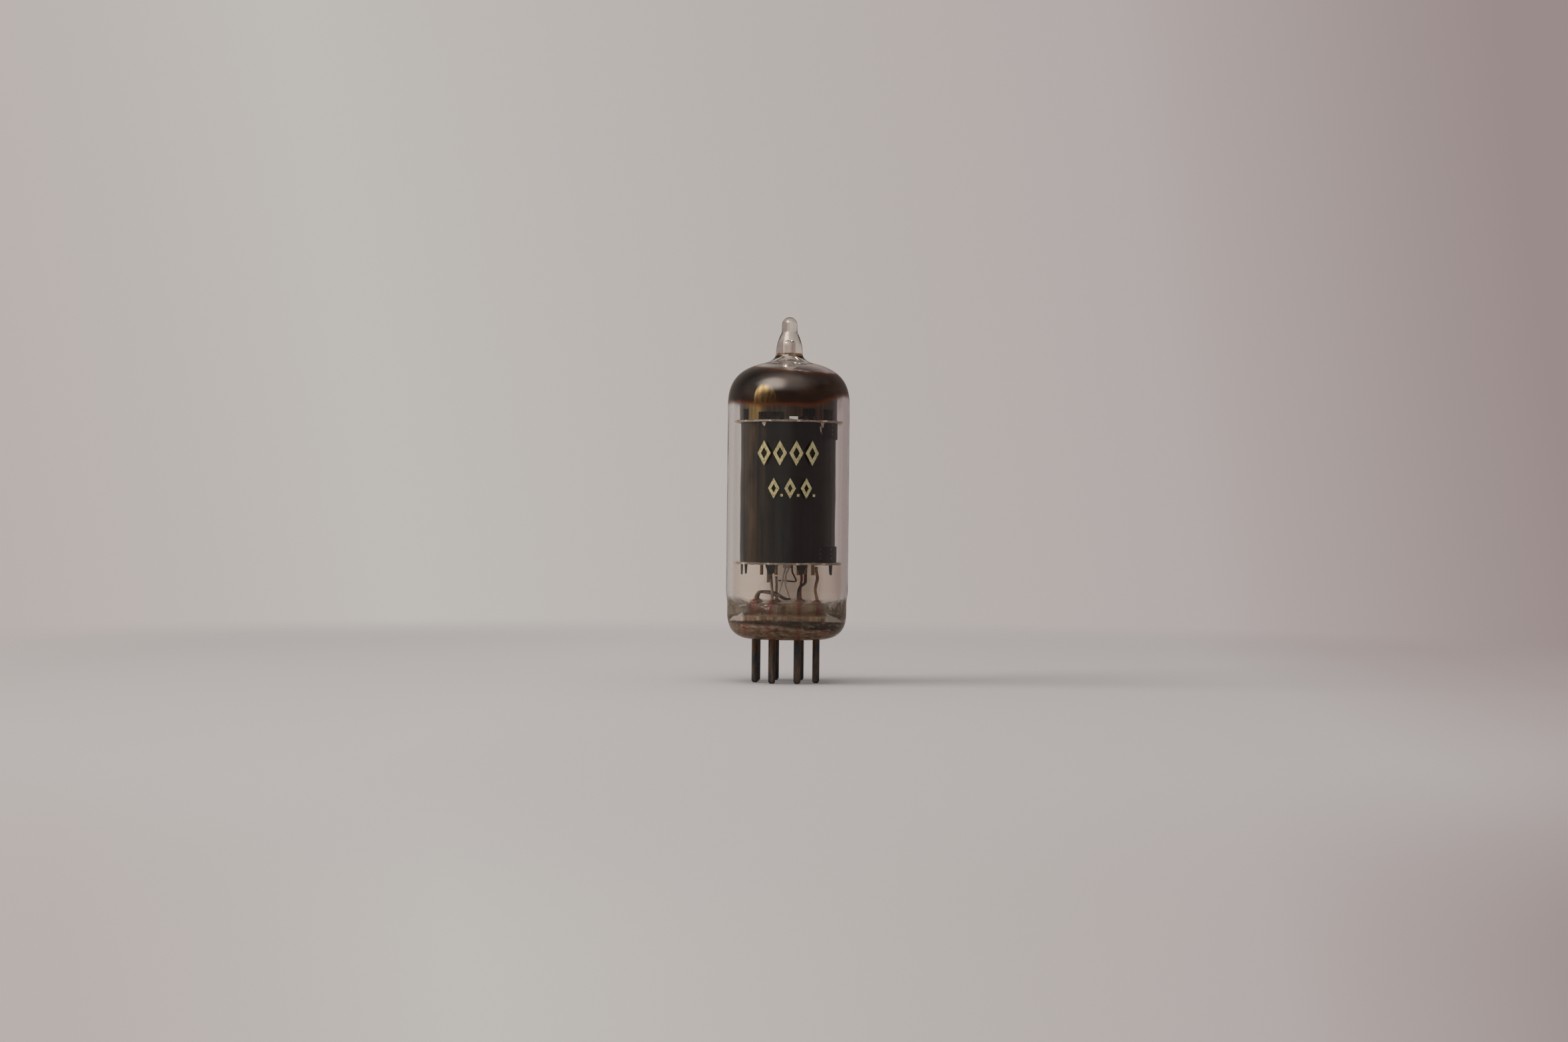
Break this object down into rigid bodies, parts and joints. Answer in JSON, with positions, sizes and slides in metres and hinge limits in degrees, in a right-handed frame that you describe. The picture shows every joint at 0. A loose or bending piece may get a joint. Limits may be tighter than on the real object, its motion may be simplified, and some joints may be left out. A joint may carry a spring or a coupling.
{
  "type": "miniature pentode tube",
  "caption": "Glass pentode on a button stem with straight pins: wound grids, anode and shield can between two micas, drawn top shield and a gettered dome.",
  "frame": {"origin": "centre of the plane that the seven pin tips stand on", "axes": "+Z along the tube's axis, from the pins to the exhaust tip; -Y is the front; the empty place of the pin circle is at +X +Y"},
  "size_m": [0.0176, 0.0176, 0.0531],
  "materials": {
    "bulb_glass": "gloss",
    "stem_glass": "gloss",
    "mica": "satin",
    "can_sheet": "satin",
    "clip_sheet": "satin",
    "top_sheet": "satin",
    "anode_sheet": "satin",
    "grid_wire": "satin",
    "cathode_sleeve": "satin",
    "dark_wire": "satin",
    "heater_coating": "matte",
    "getter_metal": "satin",
    "getter_film": "gloss",
    "pin_metal": "satin",
    "seal_wire": "satin",
    "lead_wire": "satin"
  },
  "bodies": {
    "root": {"glass_bulb": "bulb_glass", "button_stem": "stem_glass", "lower_mica": "mica", "upper_mica": "mica", "shield_can": "can_sheet", "upper_seam_clip": "clip_sheet", "lower_seam_clip": "clip_sheet", "top_shield": "top_sheet", "anode": "anode_sheet", "suppressor_grid": "grid_wire", "screen_grid": "grid_wire", "control_grid": "grid_wire", "cathode": "cathode_sleeve", "cathode_strap": "dark_wire", "heater": "heater_coating", "getter_post": "dark_wire", "getter_ring": "getter_metal", "getter_film": "getter_film", "pin_1": "pin_metal", "seal_wire_1": "seal_wire", "inner_lead_1": "lead_wire", "pin_2": "pin_metal", "seal_wire_2": "seal_wire", "inner_lead_2": "lead_wire", "pin_3": "pin_metal", "seal_wire_3": "seal_wire", "inner_lead_3": "lead_wire", "pin_4": "pin_metal", "seal_wire_4": "seal_wire", "inner_lead_4": "lead_wire", "pin_5": "pin_metal", "seal_wire_5": "seal_wire", "inner_lead_5": "lead_wire", "pin_6": "pin_metal", "seal_wire_6": "seal_wire", "inner_lead_6": "lead_wire", "pin_7": "pin_metal", "seal_wire_7": "seal_wire", "inner_lead_7": "lead_wire"}
  },
  "joints": []
}
